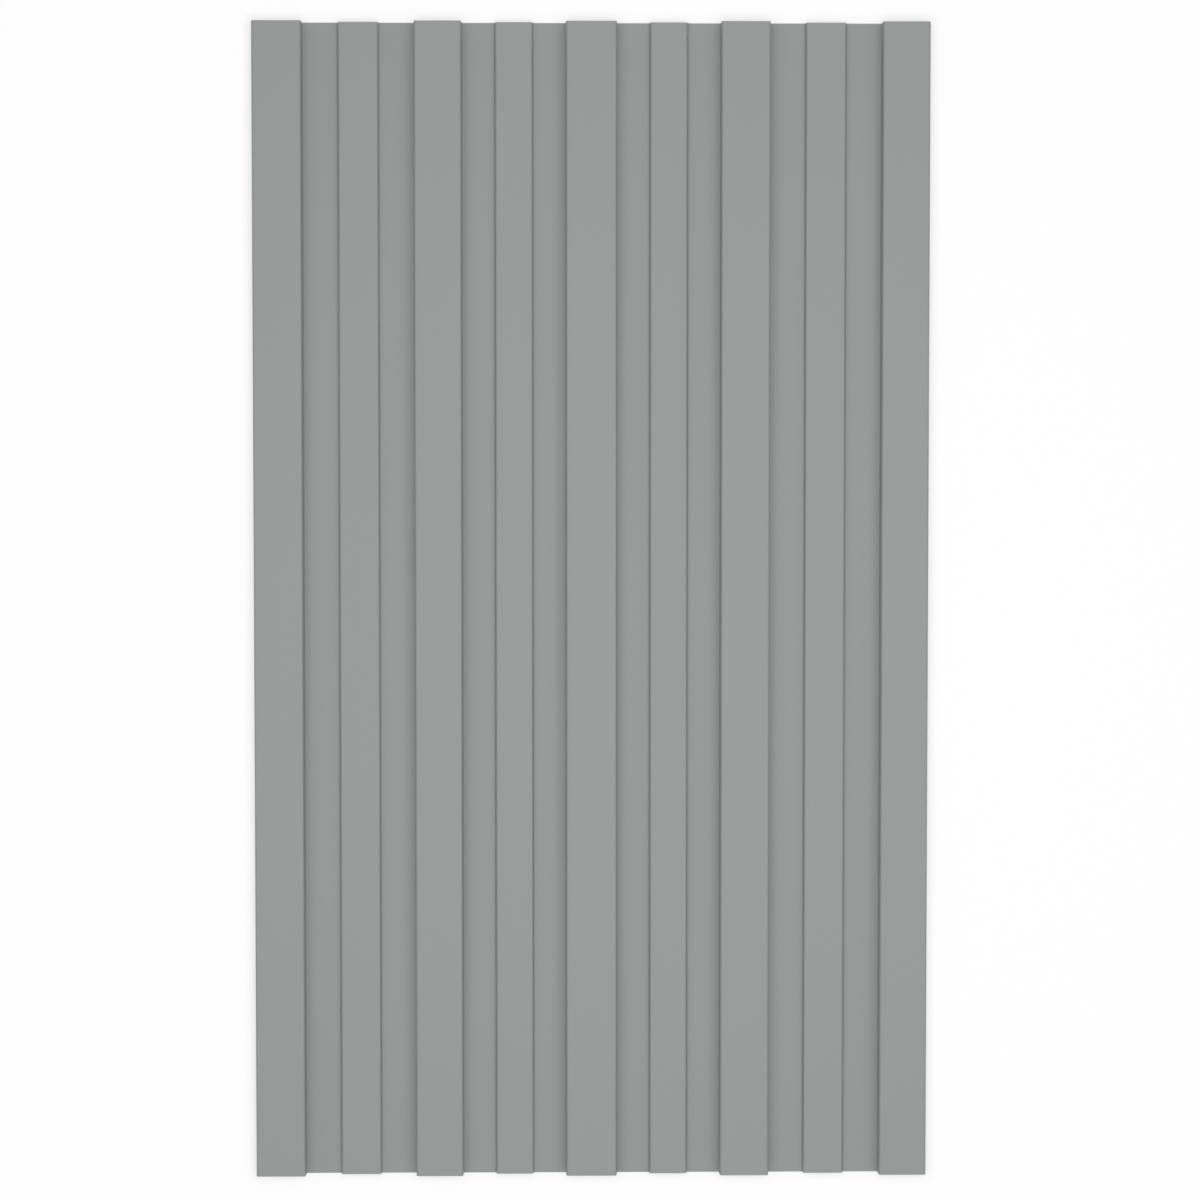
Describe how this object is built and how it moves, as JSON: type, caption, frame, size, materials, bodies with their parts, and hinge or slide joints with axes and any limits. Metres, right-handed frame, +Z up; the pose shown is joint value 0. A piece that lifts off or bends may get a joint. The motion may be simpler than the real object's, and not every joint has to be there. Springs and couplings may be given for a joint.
{
  "type": "ribbed metal roofing sheet",
  "caption": "Flat-lying powder-coated steel sheet, rolled into alternating high and low ribs, with a lap rib and turned-down lip along each side, for cladding roofs and walls.",
  "frame": {"origin": "centre of the sheet's footprint, on the plane of the pans' undersides, which is the floor it lies on", "axes": "+Y along the ribs, +X across the ribs from the lap rib to the edge rib that goes under, +Z up, out of the weather face"},
  "size_m": [0.3506, 0.6, 0.0084],
  "materials": {
    "powder_coat": "matte"
  },
  "bodies": {
    "root": {"corrugated_sheet": "powder_coat"}
  },
  "joints": []
}
